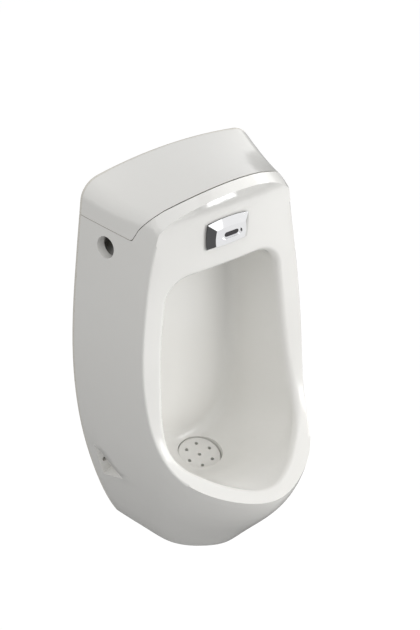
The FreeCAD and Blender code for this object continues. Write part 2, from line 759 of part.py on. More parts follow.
def trap_joint():
    """Seal on the socket's rim and the nut that presses it."""
    y = STRAINER_Y
    seal_r = TRAP_SOCKET_R - 1
    seal = ring(seal_r, WASTE_TAIL_R + SEAT_GAP, TRAP_SEAL, (0, y, TRAP_SOCKET_TOP))
    nut = cylinder(TRAP_NUT_R, TRAP_NUT, (0, y, TRAP_SOCKET_TOP + TRAP_SEAL + TRAP_NUT_CAP - TRAP_NUT))
    inside = TRAP_NUT - TRAP_NUT_CAP
    nut = nut.cut(cylinder(TRAP_SOCKET_R + SEAT_GAP, inside, (0, y, TRAP_SOCKET_TOP + TRAP_SEAL - inside)))
    nut = nut.cut(cylinder(WASTE_TAIL_R + SEAT_GAP, 30, (0, y, TRAP_SOCKET_TOP)))
    return seal, nut


def wall_seal():
    return ring(WALL_SEAL_R, TRAP_R + SEAT_GAP, WALL_SEAL, (0, -WALL_SEAL, TRAP_OUT_Z), (0, 1, 0))


# ---------------------------------------------------------------- inlet spud
def ceiling_at(depth):
    """Height of the bowl's ceiling above a depth."""
    for low, high in zip(BOWL, BOWL[1:]):
        if depth <= high[0]:
            return low[3] + (high[3] - low[3]) * (depth - low[0]) / (high[0] - low[0])
    return BOWL[-1][3]


def spud_parts():
    y = SPUD_Y
    gasket_top = ceiling_at(-y + SPUD_GASKET_R) - SEAT_GAP
    dome_top = gasket_top - SPUD_GASKET
    dome_low = dome_top - SPREADER
    spud = ring(SPUD_R, SPUD_BORE_R, SPUD_TOP - dome_top + SPUD_THREAD, (0, y, dome_top - SPUD_THREAD))
    dome = cylinder(SPREADER_R, SPREADER - SPREADER_CONE, (0, y, dome_low + SPREADER_CONE))
    dome = dome.fuse(Part.makeCone(SPREADER_FOOT_R, SPREADER_R, SPREADER_CONE, V(0, y, dome_low)))
    dome = dome.cut(cylinder(SPUD_R + SEAT_GAP, SPUD_THREAD, (0, y, dome_top - SPUD_THREAD)))
    floor = dome_low + SPREADER_FLOOR
    dome = dome.cut(cylinder(SPREADER_ROOM_R, SPREADER, (0, y, floor)))
    for x in SPREADER_SLOTS:
        dome = dome.cut(block(x - SPREADER_SLOT / 2, x + SPREADER_SLOT / 2, y - SPREADER_R - 1, y,
                              floor, dome_top - SPREADER_BRIDGE))
    gasket = ring(SPUD_GASKET_R, SPUD_R + SEAT_GAP, SPUD_GASKET, (0, y, dome_top))
    washer = ring(SPUD_WASHER_R, SPUD_R + SEAT_GAP, SPUD_WASHER, (0, y, DECK_TOP))
    nut = hexagon(SPUD_NUT_FLATS, SPUD_NUT, (0, y, DECK_TOP + SPUD_WASHER))
    nut = nut.cut(cylinder(SPUD_R + SEAT_GAP, SPUD_NUT + 2, (0, y, DECK_TOP)))
    return spud, dome, gasket, washer, nut


# ---------------------------------------------------------------- water way
def stop_valve():
    x, z = WATER_X, WATER_Z
    body = cylinder(STOP_R, STOP_FRONT - STOP_BACK, (x, -STOP_FRONT, z), (0, 1, 0))
    body = body.fuse(cylinder(INLET_R, STOP_BACK, (x, -STOP_BACK, z), (0, 1, 0)))
    body = body.fuse(cylinder(STOP_PORT_R, STOP_PORT, (x, -STOP_FRONT - STOP_PORT, z), (0, 1, 0)))
    stem_y = -(STOP_FRONT + STOP_BACK) / 2
    body = body.fuse(cylinder(STOP_BONNET_R, STOP_BONNET_TOP - z, (x, stem_y, z)))
    seat = (x, stem_y, STOP_BONNET_TOP - STEM_DEPTH)
    body = body.cut(cylinder(STEM_R + RUNNING_GAP, STEM_DEPTH + 1, seat))
    back_bore = cylinder(INLET_BORE_R, STOP_BACK + 6, (x, -STOP_BACK - 6, z), (0, 1, 0))
    front_bore = cylinder(FILTER_R + SEAT_GAP, STOP_PORT + 6, (x, -STOP_FRONT - STOP_PORT, z), (0, 1, 0))
    return body.cut(back_bore).cut(front_bore)


def stop_lever():
    x = WATER_X
    y = -(STOP_FRONT + STOP_BACK) / 2
    z = STOP_BONNET_TOP + LEVER_GAP
    hub = cylinder(STOP_BONNET_R - 1, LEVER, (x, y, z))
    arm = block(x, x + LEVER_LENGTH, y - LEVER_HALF, y + LEVER_HALF, z, z + LEVER)
    end = [e for e in arm.Edges if e.BoundBox.ZLength > LEVER / 2 and e.BoundBox.XMin > x + 5]
    arm = arm.makeFillet(LEVER_HALF - 0.5, end)
    stem = cylinder(STEM_R, STEM_DEPTH, (x, y, z - STEM_DEPTH))
    return hub.fuse(arm).fuse(stem).removeSplitter()


def inlet_filter():
    y = -STOP_FRONT - STOP_PORT
    return ring(FILTER_R, FILTER_R - 1, FILTER, (WATER_X, y, WATER_Z), (0, 1, 0)).fuse(
        cylinder(FILTER_R - 1, 1, (WATER_X, y + FILTER - 1, WATER_Z), (0, 1, 0)))


def union_end():
    """Depth at which the valve's inlet stub ends."""
    return -STOP_FRONT - STOP_PORT - UNION_WASHER


def union():
    end = union_end()
    x, z = WATER_X, WATER_Z
    washer = ring(STOP_PORT_R, VALVE_BORE_R, UNION_WASHER, (x, end, z), (0, 1, 0))
    length = UNION_LIP + UNION_COLLAR + UNION_WASHER + STOP_PORT - 1
    back = end - UNION_COLLAR - UNION_LIP
    nut = cylinder(UNION_R, length, (x, back, z), (0, 1, 0))
    nut = nut.cut(cylinder(STOP_PORT_R + SEAT_GAP, length, (x, back + UNION_LIP, z), (0, 1, 0)))
    nut = nut.cut(cylinder(VALVE_STUB_R + SEAT_GAP, length, (x, back, z), (0, 1, 0)))
    for k in range(8):
        a = math.radians(45 * k)
        nut = nut.cut(cylinder(2, length, (x + (UNION_R + 1) * math.cos(a), back,
                                           z + (UNION_R + 1) * math.sin(a)), (0, 1, 0)))
    return washer, nut


def valve_body():
    x, y, z = WATER_X, VALVE_Y, WATER_Z
    body = cylinder(VALVE_R, VALVE_FLANGE_BOTTOM - VALVE_BOTTOM, (x, y, VALVE_BOTTOM))
    flange = slab(2 * VALVE_HALF, 2 * VALVE_HALF, VALVE_CORNER_R, VALVE_TOP - VALVE_FLANGE_BOTTOM)
    flange.rotate(V(0, 0, 0), V(1, 0, 0), 90)
    flange.translate(V(x, y, VALVE_FLANGE_BOTTOM))
    body = body.fuse(flange)
    end = union_end()
    body = body.fuse(cylinder(VALVE_STUB_R, end - y, (x, y, z), (0, 1, 0)))
    body = body.fuse(cylinder(STOP_PORT_R, UNION_COLLAR, (x, end - UNION_COLLAR, z), (0, 1, 0)))
    body = body.fuse(cylinder(VALVE_STUB_R, VALVE_STUB, (x - VALVE_STUB, y, z), (1, 0, 0)))
    body = body.cut(cylinder(VALVE_BORE_R, end - y, (x, y, z), (0, 1, 0)))
    body = body.cut(cylinder(TUBE_R - TUBE_WALL, VALVE_STUB, (x - VALVE_STUB, y, z), (1, 0, 0)))
    body = body.cut(cylinder(TUBE_R + SEAT_GAP, TUBE_INSERT, (x - VALVE_STUB, y, z), (1, 0, 0)))
    body = body.cut(cylinder(VALVE_BORE_R, VALVE_TOP - z, (x, y, z)))
    for sx in (-1, 1):
        for sy in (-1, 1):
            at = (x + sx * BONNET_SCREW, y + sy * BONNET_SCREW, VALVE_TOP - SCREW_DEPTH - 1)
            body = body.cut(cylinder(SCREW_R + RUNNING_GAP, 20, at))
    return body


def diaphragm():
    return cylinder(DIAPHRAGM_R, DIAPHRAGM, (WATER_X, VALVE_Y, VALVE_TOP))


def bonnet():
    """Square cover with the closed core tube that guides the plunger."""
    x, y, z = WATER_X, VALVE_Y, VALVE_TOP
    plate = slab(2 * VALVE_HALF, 2 * VALVE_HALF, VALVE_CORNER_R, BONNET)
    plate.rotate(V(0, 0, 0), V(1, 0, 0), 90)
    plate.translate(V(x, y, z))
    plate = plate.fuse(cylinder(CORE_R + 3, COIL_BOTTOM - z - BONNET, (x, y, z + BONNET)))
    plate = plate.fuse(cylinder(CORE_R, CORE_TOP - z - BONNET, (x, y, z + BONNET)))
    plate = plate.cut(cylinder(DIAPHRAGM_R + SEAT_GAP, DIAPHRAGM, (x, y, z)))
    plate = plate.cut(cylinder(CORE_BORE_R, CORE_TOP - CORE_CAP - z, (x, y, z)))
    for sx in (-1, 1):
        for sy in (-1, 1):
            at = (x + sx * BONNET_SCREW, y + sy * BONNET_SCREW, z - 1)
            plate = plate.cut(cylinder(SCREW_R + RUNNING_GAP, 20, at))
    return plate


def bonnet_screws():
    screws = []
    top = VALVE_TOP + BONNET
    for sx in (-1, 1):
        for sy in (-1, 1):
            x = WATER_X + sx * BONNET_SCREW
            y = VALVE_Y + sy * BONNET_SCREW
            screw = cylinder(SCREW_R, BONNET + SCREW_DEPTH, (x, y, VALVE_TOP - SCREW_DEPTH))
            screws.append(screw.fuse(cylinder(SCREW_HEAD_R, SCREW_HEAD, (x, y, top))))
    return Part.makeCompound(screws)


def coil():
    x, y = WATER_X, VALVE_Y
    body = cylinder(COIL_R, COIL, (x, y, COIL_BOTTOM))
    low = COIL_BOTTOM + COIL / 2 - 5
    plug = block(x - 7, x + 7, y - COIL_R - COIL_PLUG, y, low, low + 10)
    return body.fuse(plug).cut(cylinder(CORE_R + RUNNING_GAP, COIL + 2, (x, y, COIL_BOTTOM - 1)))


def coil_nut():
    x, y = WATER_X, VALVE_Y
    z = COIL_BOTTOM + COIL
    return hexagon(COIL_NUT_FLATS, COIL_NUT, (x, y, z)).cut(
        cylinder(CORE_R + RUNNING_GAP, COIL_NUT + 2, (x, y, z - 1)))


def plunger_low():
    return VALVE_TOP + DIAPHRAGM + SEAT_GAP


def plunger():
    return cylinder(CORE_BORE_R - RUNNING_GAP, PLUNGER, (WATER_X, VALVE_Y, plunger_low()))


def plunger_spring():
    """Plain sleeve of the size of the wound spring."""
    low = plunger_low() + PLUNGER
    high = CORE_TOP - CORE_CAP
    r = CORE_BORE_R - 3 * RUNNING_GAP
    return ring(r, r - SPRING_WALL, high - low, (WATER_X, VALVE_Y, low))


def supply_tube():
    start = WATER_X - VALVE_STUB + TUBE_INSERT
    route = [(start, VALVE_Y, WATER_Z), (0, VALVE_Y, WATER_Z), (0, VALVE_Y, SPUD_TOP - TUBE_INSERT)]
    return pipe(route, TUBE_BEND, TUBE_R).cut(pipe(
        [(start + 1, VALVE_Y, WATER_Z), (0, VALVE_Y, WATER_Z), (0, VALVE_Y, SPUD_TOP - 30)],
        TUBE_BEND, TUBE_R - TUBE_WALL))


def tube_nuts():
    cap = TUBE_NUT - TUBE_NUT_OVER
    edge = WATER_X - VALVE_STUB - cap
    at_valve = cylinder(TUBE_NUT_R, TUBE_NUT, (edge, VALVE_Y, WATER_Z), (1, 0, 0))
    at_valve = at_valve.cut(cylinder(TUBE_R + SEAT_GAP, TUBE_NUT, (edge, VALVE_Y, WATER_Z), (1, 0, 0)))
    at_valve = at_valve.cut(cylinder(VALVE_STUB_R + SEAT_GAP, TUBE_NUT,
                                     (edge + cap, VALVE_Y, WATER_Z), (1, 0, 0)))
    low = SPUD_TOP - TUBE_NUT_OVER
    r = SPUD_R + 3
    at_spud = cylinder(r, TUBE_NUT, (0, VALVE_Y, low))
    at_spud = at_spud.cut(cylinder(TUBE_R + SEAT_GAP, TUBE_NUT, (0, VALVE_Y, low)))
    at_spud = at_spud.cut(cylinder(SPUD_R + SEAT_GAP, TUBE_NUT_OVER, (0, VALVE_Y, low)))
    return at_valve, at_spud


# ---------------------------------------------------------------- battery box
def battery_sizes():
    length = CELL_LENGTH + 2 * (CONTACT + CELL_GAP)
    across = 4 * CELL_R + 3 * CELL_GAP
    floor = DECK_TOP + BOX_WALL
    return length, across, floor


def battery_box():
    length, across, floor = battery_sizes()
    w = length / 2 + BOX_WALL
    d = across / 2 + BOX_WALL
    top = floor + across
    outer = block(BOX_X - w, BOX_X + w, BOX_Y - d, BOX_Y + d, DECK_TOP, top)
    inner = block(BOX_X - length / 2, BOX_X + length / 2, BOX_Y - across / 2, BOX_Y + across / 2,
                  floor, top + 5)
    return outer.cut(inner)


def battery_cells():
    floor = battery_sizes()[2]
    cells = []
    pitch = 2 * CELL_R + CELL_GAP
    x = BOX_X - CELL_LENGTH / 2
    for row in (-0.5, 0.5):
        for layer in (0, 1):
            at = (x, BOX_Y + row * pitch, floor + CELL_R + layer * pitch)
            cells.append(cylinder(CELL_R, CELL_LENGTH, at, (1, 0, 0)))
    return Part.makeCompound(cells)


def battery_contacts():
    length, across, floor = battery_sizes()
    plates = []
    half = across / 2 - 2
    for side in (-1, 1):
        x = BOX_X + side * (length / 2 - CONTACT / 2)
        plates.append(block(x - CONTACT / 2, x + CONTACT / 2, BOX_Y - half, BOX_Y + half,
                            floor, floor + across - 4))
    return Part.makeCompound(plates)


def battery_cover():
    length, across, floor = battery_sizes()
    top = floor + across
    w = length / 2 + BOX_WALL
    d = across / 2 + BOX_WALL
    plate = block(BOX_X - w, BOX_X + w, BOX_Y - d, BOX_Y + d, top, top + BOX_COVER)
    grip = block(BOX_X - 10, BOX_X + 10, BOX_Y - 3, BOX_Y + 3, top + BOX_COVER, top + 2 * BOX_COVER)
    return plate.fuse(grip)


# ---------------------------------------------------------------- sensor
def bulged(half_w, half_h, bulge_w, bulge_h, y):
    """Four slightly bowed edges through the corners."""
    a, b = V(-half_w, y, -half_h), V(half_w, y, -half_h)
    c, d = V(half_w, y, half_h), V(-half_w, y, half_h)
    low = Part.Arc(a, V(0, y, -half_h - bulge_h), b).toShape()
    right = Part.Arc(b, V(half_w + bulge_w, y, 0), c).toShape()
    high = Part.Arc(c, V(0, y, half_h + bulge_h), d).toShape()
    left = Part.Arc(d, V(-half_w - bulge_w, y, 0), a).toShape()
    return Part.Wire([low, right, high, left])


def sensor_cover():
    base = bulged(COVER_HALF_W, COVER_HALF_H, COVER_BULGE_W, COVER_BULGE_H, 0)
    plateau = bulged(PLATEAU_HALF_W, PLATEAU_HALF_H, PLATEAU_BULGE, PLATEAU_BULGE, -COVER_DEPTH)
    cover = loft([base, plateau], True)
    dish = slab(DISH_W, DISH_H, DISH_H / 2 - 0.1, DISH_DEPTH + 1, -COVER_DEPTH - 1)
    dish.translate(V(DISH_X, 0, 0))
    slot = slab(WINDOW_W, WINDOW_H, WINDOW_H / 2 - 0.1, COVER_DEPTH + 2, -COVER_DEPTH - 1)
    slot.translate(V(DISH_X, 0, 0))
    return sensor_placed(cover.cut(dish).cut(slot))


def sensor_window():
    w = WINDOW_W - 2 * WINDOW_GAP
    h = WINDOW_H - 2 * WINDOW_GAP
    front = COVER_DEPTH - DISH_DEPTH - WINDOW_SUNK
    pane = slab(w, h, h / 2 - 0.1, front, -front)
    pane.translate(V(DISH_X, 0, 0))
    return sensor_placed(pane)


def sensor_gasket(body):
    scale_w = COVER_HALF_W - GASKET_INSET
    scale_h = COVER_HALF_H - GASKET_INSET
    outline = bulged(scale_w, scale_h, COVER_BULGE_W, COVER_BULGE_H, 0)
    pad = Part.Face(outline).extrude(V(0, 8, 0))
    pad = pad.cut(slab(CUTOUT_W, CUTOUT_H, CUTOUT_R, 20, -5))
    return sensor_placed(pad).cut(body)


def sensor_housing():
    shell = slab(HOUSING_W, HOUSING_H, CUTOUT_R, HOUSING_DEPTH)
    w = HOUSING_W - 2 * HOUSING_WALL
    h = HOUSING_H - 2 * HOUSING_WALL
    room = slab(w, h, CUTOUT_R - HOUSING_WALL, HOUSING_DEPTH - 2 * HOUSING_WALL, HOUSING_WALL)
    shell = shell.cut(room)
    for x in (DISH_X - EYE_X, DISH_X + EYE_X):
        shell = shell.cut(cylinder(EYE_R + RUNNING_GAP, HOUSING_WALL + 2, (x, -1, 0), (0, 1, 0)))
    return sensor_placed(shell)


def sensor_board():
    w = HOUSING_W - 2 * HOUSING_WALL - 2 * SEAT_GAP
    h = HOUSING_H - 2 * HOUSING_WALL - 2 * SEAT_GAP
    board = slab(w, h, CUTOUT_R - HOUSING_WALL, BOARD, BOARD_DEPTH)
    return sensor_placed(board)


def sensor_eyes():
    eyes = [cylinder(EYE_R, BOARD_DEPTH - EYE_BACK, (x, EYE_BACK, 0), (0, 1, 0))
            for x in (DISH_X - EYE_X, DISH_X + EYE_X)]
    return sensor_placed(Part.makeCompound(eyes))


def sensor_clamp(body):
    """Bridge across the back of the cut-out, bent to two feet on the panel."""
    back = HOUSING_DEPTH + CLAMP_GAP
    foot = CUTOUT_H / 2 + 2
    web = block(-CLAMP_HALF_W, CLAMP_HALF_W, back, back + CLAMP, -foot - CLAMP, foot + CLAMP)
    for side in (-1, 1):
        z0, z1 = sorted((side * foot, side * (foot + CLAMP)))
        web = web.fuse(block(-CLAMP_HALF_W, CLAMP_HALF_W, 5, back, z0, z1))
        web = web.cut(cylinder(STUD_R + SEAT_GAP, 10, (side * STUD_X, back - 2, 0), (0, 1, 0)))
    clamp = sensor_placed(web.removeSplitter()).cut(body)
    pieces = sorted(clamp.Solids, key=lambda solid: solid.Volume)
    return pieces[-1]


def sensor_studs():
    studs = [cylinder(STUD_R, STUD, (side * STUD_X, HOUSING_DEPTH, 0), (0, 1, 0)) for side in (-1, 1)]
    return sensor_placed(Part.makeCompound(studs))


def sensor_wing_nuts():
    nuts = []
    y = HOUSING_DEPTH + CLAMP_GAP + CLAMP
    for side in (-1, 1):
        x = side * STUD_X
        nut = cylinder(WING_NUT_R, WING_NUT, (x, y, 0), (0, 1, 0))
        nut = nut.fuse(block(x - 1, x + 1, y, y + WING_NUT + 3, -WING_SPAN, WING_SPAN))
        nuts.append(nut.cut(cylinder(STUD_R + RUNNING_GAP, 20, (x, y - 1, 0), (0, 1, 0))))
    return sensor_placed(Part.makeCompound(nuts))


def sensor_side(x, depth):
    """Point on the housing's side wall."""
    tilt = math.radians(SENSOR_TILT)
    return (x, SENSOR_Y + depth * math.cos(tilt), SENSOR_Z + depth * math.sin(tilt))


def leads():
    side = HOUSING_W / 2
    entry = sensor_side(side, LEAD_ENTRY)
    plug_z = COIL_BOTTOM + COIL / 2
    plug_y = VALVE_Y - COIL_R - COIL_PLUG
    signal = pipe([(WATER_X, plug_y, plug_z), (WATER_X, plug_y - 18, plug_z),
                   (side + 20, entry[1], entry[2]), entry], LEAD_BEND, LEAD_R)
    length, across, floor = battery_sizes()
    box_side = BOX_X + length / 2 + BOX_WALL
    entry = sensor_side(-side, LEAD_ENTRY)
    middle = (box_side - side) / 2
    power = pipe([(box_side, BOX_Y, floor + across * 0.7), (middle, BOX_Y, floor + across * 0.7),
                  (middle, entry[1], entry[2]), entry], LEAD_BEND, LEAD_R)
    return signal, power


# ---------------------------------------------------------------- fixing
def hanger_bracket():
    plate = block(HANGER_X - HANGER_PLATE_HALF, HANGER_X + HANGER_PLATE_HALF, -HANGER_PLATE, 0,
                  HANGER_LOW, HANGER_HIGH)
    middle = (HANGER_LOW + HANGER_HIGH) / 2
    for z in (middle - HANGER_HOLES / 2, middle + HANGER_HOLES / 2):
        plate = plate.cut(cylinder(HANGER_HOLE_R, 20, (HANGER_X, -10, z), (0, 1, 0)))
    half = HANGER_TONGUE_HALF
    reach = BACK_WEB + HANGER_REACH
    tongue = block(HANGER_X - half, HANGER_X + half, -reach - HANGER_PLATE, -HANGER_PLATE / 2,
                   HANGER_TONGUE_TOP - HANGER_PLATE, HANGER_TONGUE_TOP)
    lip = block(HANGER_X - half, HANGER_X + half, -reach - HANGER_PLATE, -reach,
                HANGER_TONGUE_TOP - HANGER_PLATE, HANGER_TONGUE_TOP + HANGER_LIP)
    return plate.fuse(tongue).fuse(lip).removeSplitter()


def lid_pads():
    """Soft dots that keep the lid off the ledge by the height of the seam."""
    pads = []
    for side, depth in PAD_PLACES:
        x = side * (half_width(SEAM_Z, depth) - PAD_IN)
        pads.append(cylinder(PAD_R, SEAM_GAP, (x, -depth, SEAM_Z - SEAM_GAP)))
    return Part.makeCompound(pads)


def build():
    form = casting_form()
    low, high = casting_hollow()
    body = casting(form, low, high)
    save(body, "body")
    save(lid(form), "lid")
    save(lid_pads(), "lid_pads")
    save(strainer(), "strainer")
    for shape, node in zip(waste(), ("waste_fitting", "waste_gasket", "waste_washer", "waste_nut")):
        save(shape, node)
    save(trap(), "trap")
    for shape, node in zip(trap_joint(), ("trap_seal", "trap_nut")):
        save(shape, node)
    save(wall_seal(), "wall_seal")
    names = ("spud", "spreader", "spud_gasket", "spud_washer", "spud_nut")
    for shape, node in zip(spud_parts(), names):
        save(shape, node)
    save(stop_valve(), "stop_valve")
    save(stop_lever(), "stop_lever")
    save(inlet_filter(), "inlet_filter")
    for shape, node in zip(union(), ("union_washer", "union_nut")):
        save(shape, node)
    save(valve_body(), "valve_body")
    save(diaphragm(), "diaphragm")
    save(bonnet(), "bonnet")
    save(bonnet_screws(), "bonnet_screws")
    save(coil(), "coil")
    save(coil_nut(), "coil_nut")
    save(plunger(), "plunger")
    save(plunger_spring(), "plunger_spring")
    save(supply_tube(), "supply_tube")
    for shape, node in zip(tube_nuts(), ("tube_nut_valve", "tube_nut_spud")):
        save(shape, node)
    save(battery_box(), "battery_box")
    save(battery_cells(), "battery_cells")
    save(battery_contacts(), "battery_contacts")
    save(battery_cover(), "battery_cover")
    save(sensor_cover(), "sensor_cover")
    save(sensor_window(), "sensor_window")
    save(sensor_gasket(body), "sensor_gasket")
    save(sensor_housing(), "sensor_housing")
    save(sensor_board(), "sensor_board")
    save(sensor_eyes(), "sensor_eyes")
    save(sensor_clamp(body), "sensor_clamp")
    save(sensor_studs(), "sensor_studs")
    save(sensor_wing_nuts(), "sensor_wing_nuts")
    for shape, node in zip(leads(), ("sensor_lead", "battery_lead")):
        save(shape, node)
    save(mirrored(hanger_bracket()), "hanger_bracket_left")
    save(hanger_bracket(), "hanger_bracket_right")


if __name__ == "__main__":
    os.makedirs("parts", exist_ok=True)
    build()
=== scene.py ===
import math

import bmesh
import bpy
from mathutils import Matrix, Vector
from mathutils.bvhtree import BVHTree


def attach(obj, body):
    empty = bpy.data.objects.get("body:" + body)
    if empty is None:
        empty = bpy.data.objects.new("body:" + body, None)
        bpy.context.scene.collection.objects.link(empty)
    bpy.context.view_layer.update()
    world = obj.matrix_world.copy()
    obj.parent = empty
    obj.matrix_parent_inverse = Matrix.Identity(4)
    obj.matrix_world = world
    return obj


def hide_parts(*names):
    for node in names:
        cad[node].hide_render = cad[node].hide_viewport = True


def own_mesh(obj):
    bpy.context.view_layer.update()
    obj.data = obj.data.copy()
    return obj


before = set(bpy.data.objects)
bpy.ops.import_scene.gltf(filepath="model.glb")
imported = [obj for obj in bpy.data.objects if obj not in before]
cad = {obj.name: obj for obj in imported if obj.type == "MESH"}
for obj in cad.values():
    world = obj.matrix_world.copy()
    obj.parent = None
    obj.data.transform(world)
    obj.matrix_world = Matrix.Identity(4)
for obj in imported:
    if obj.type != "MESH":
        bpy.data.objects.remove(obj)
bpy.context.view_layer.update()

# The camera and the lamps. The urinal is photographed from its left and from above, hung clear
# of everything. Five large softboxes light it, the strongest of them from the front right.
TURN, PITCH = math.radians(34.3), math.radians(34.0)
CAMERA_PLACE = (-2.22063, -3.37898, 2.51839)
FOCAL_PIXELS = 3000
PHOTO_HEIGHT = 630
SENSOR_HEIGHT = 36.0            # mm
FARTHEST_SEEN = 50
LAMP_SIDE = 1.6
LAMP_AIM = Vector((0, -0.15, -0.2))


def add_object(name, data):
    """A new object of the scene, made of this data."""
    made = bpy.data.objects.new(name, data)
    bpy.context.scene.collection.objects.link(made)
    return made


def aimed(place, backwards):
    """The pose of a camera or lamp at a place, with its back turned this way."""
    return Matrix.Translation(place) @ backwards.to_track_quat("Z", "Y").to_matrix().to_4x4()


def soft_lamp(name, place, watts):
    """One large square softbox that points at the urinal."""
    lamp = bpy.data.lights.new(name, "AREA")
    lamp.shape = "RECTANGLE"
    lamp.size = lamp.size_y = LAMP_SIDE
    lamp.energy = watts
    add_object(name, lamp).matrix_world = aimed(place, Vector(place) - LAMP_AIM)


shot = bpy.data.cameras.new("photographer")
shot.sensor_fit = "VERTICAL"
shot.sensor_height = SENSOR_HEIGHT
shot.lens = SENSOR_HEIGHT * FOCAL_PIXELS / PHOTO_HEIGHT
shot.clip_end = FARTHEST_SEEN
photographer = add_object("photographer", shot)
photographer.matrix_world = aimed(CAMERA_PLACE, Vector((-math.sin(TURN) * math.cos(PITCH),
                                                        -math.cos(TURN) * math.cos(PITCH),
                                                        math.sin(PITCH))))
bpy.context.scene.camera = photographer
bpy.context.scene.view_settings.view_transform = "Standard"

soft_lamp("front_right_softbox", (1.6, -2.4, 0.5), watts=37)
soft_lamp("front_softbox", (0.2, -2.0, 1.7), watts=4)
soft_lamp("top_softbox", (0.0, -0.5, 2.2), watts=8)
soft_lamp("left_softbox", (-2.0, -0.6, 1.6), watts=11)
soft_lamp("right_softbox", (2.6, -0.5, 0.1), watts=19)

# The floor, well below the urinal. It reads as white in the picture and keeps a soft shadow. Seen
# in the chrome it shows a painted pool of light where the front lamps would light it, and painted
# dark beyond it, as a studio's floor looks.
FLOOR_SIZE = 30
FLOOR_LEVEL = -1.165
FLOOR_GREY = 0.62
SHADOW_SHARE = 0.16             # how much of the paint's own shading shows, and so of the shadow
FLOOR_GLOW = 1.12               # with that share taken off, it still brings the floor up to white
# A painted pool of light on the floor, and painted dark around it, which only reflections show.
PAINTED_POOL_CENTRE = (0.80, -1.15)
PAINTED_POOL_RADIUS = 0.62
PAINTED_POOL_FADE = 0.1
PAINTED_POOL_BRIGHT, PAINTED_DARK_BEYOND = 0.95, 0.10


class Wire:
    """A node's output, which adds, multiplies and compares like a number, from either side."""

    def __init__(self, graph, socket):
        self.graph, self.socket = graph, socket

    def math(self, operation, a, b):
        return self.graph.node("Math", {"operation": operation}, {0: a, 1: b})

    def __add__(self, other):
        return self.math("ADD", self, other)

    __radd__ = __add__

    def __mul__(self, other):
        return self.math("MULTIPLY", self, other)

    __rmul__ = __mul__

    def __sub__(self, other):
        return self.math("SUBTRACT", self, other)

    def __rsub__(self, other):
        return self.math("SUBTRACT", other, self)

    def __gt__(self, other):
        return self.math("GREATER_THAN", self, other)

    def __lt__(self, other):
        return self.math("LESS_THAN", self, other)

    def highest(self, other):
        return self.math("MAXIMUM", self, other)


class Graph:
    """A node tree and the shader that it feeds."""

    def __init__(self, tree, surface):
        self.tree, self.surface = tree, tree.nodes[surface]

    def node(self, kind, settings=None, sockets=None, output=0):
        """Adds a node. The settings are set first, then the sockets get a value or a wire."""
        made = self.tree.nodes.new("ShaderNode" + kind)
        for key, value in (settings or {}).items():
            setattr(made, key, value)
        for key, value in (sockets or {}).items():
            if isinstance(value, Wire):
                self.tree.links.new(value.socket, made.inputs[key])
            else:
                made.inputs[key].default_value = value
        return Wire(self, made.outputs[output])

    def feed(self, socket, wire):
        self.tree.links.new(wire.socket, self.surface.inputs[socket])

    def rays(self, *kinds):
        """1 on light paths of these kinds, and 0 on all others."""
        found, *others = [self.node("LightPath", output=f"Is {kind} Ray") for kind in kinds]
        for other in others:
            found = found.highest(other)
        return found


class Finish(Graph):
    """One finish: a material, with the patterns that its surface can have."""

    def __init__(self, name, **constants):
        self.material = bpy.data.materials.new(name)
        self.material.use_nodes = True
        super().__init__(self.material.node_tree, "Principled BSDF")
        for socket, value in constants.items():
            self.surface.inputs[socket.replace("_", " ")].default_value = value

    def place(self, stretch=(1, 1, 1)):
        """Object coordinates, stretched for grain that runs one way."""
        at = self.node("TexCoord", output="Object")
        if stretch == (1, 1, 1):
            return at
        return self.node("Mapping", None, {"Vector": at, "Scale": stretch})

    def axis(self, letter):
        """One of the object coordinates, in metres."""
        return self.node("SeparateXYZ", None, {0: self.place()}, letter)

    def noise(self, scale, detail=2.0, stretch=(1, 1, 1)):
        return self.node("TexNoise", None, {"Vector": self.place(stretch), "Scale": scale,
                                            "Detail": detail}, "Fac")

    def bricks(self, scale, mortar, stretch=(1, 1, 1)):
        return self.node("TexBrick", None, {"Vector": self.place(stretch), "Scale": scale,
                                            "Mortar Size": mortar}, "Fac")

    def blend(self, share, first, second):
        first = first if isinstance(first, Wire) else (*first, 1)
        second = second if isinstance(second, Wire) else (*second, 1)
        return self.node("Mix", {"data_type": "RGBA"}, {"Factor": share, 6: first, 7: second}, 2)

    def colour(self, share, first, second):
        self.feed("Base Color", self.blend(share, first, second))

    def relief(self, height, depth, strength):
        self.feed("Normal", self.node("Bump", None, {"Height": height, "Distance": depth,
                                                     "Strength": strength}))

    def mottle(self, first, second, scale, detail=2.0):
        """A colour that wanders between two close ones."""
        self.colour(self.noise(scale, detail), first, second)

    def wear(self, smoothest, spread, scale, detail=2.0):
        """A roughness that varies from place to place."""
        self.feed("Roughness", smoothest + self.noise(scale, detail) * spread)

    def texture(self, scale, depth, strength):
        """A fine even relief."""
        self.relief(self.noise(scale), depth, strength)

    def brush(self, grain, dull, bright, smoothest, spread, depth, strength):
        """Metal whose grain shows in its colour, its roughness and its relief."""
        self.colour(grain, dull, bright)
        self.feed("Roughness", smoothest + grain * spread)
        self.relief(grain, depth, strength)


def coat(piece, finish):
    """Gives a piece of the scene its one finish."""
    piece.data.materials.clear()
    piece.data.materials.append(finish.material)


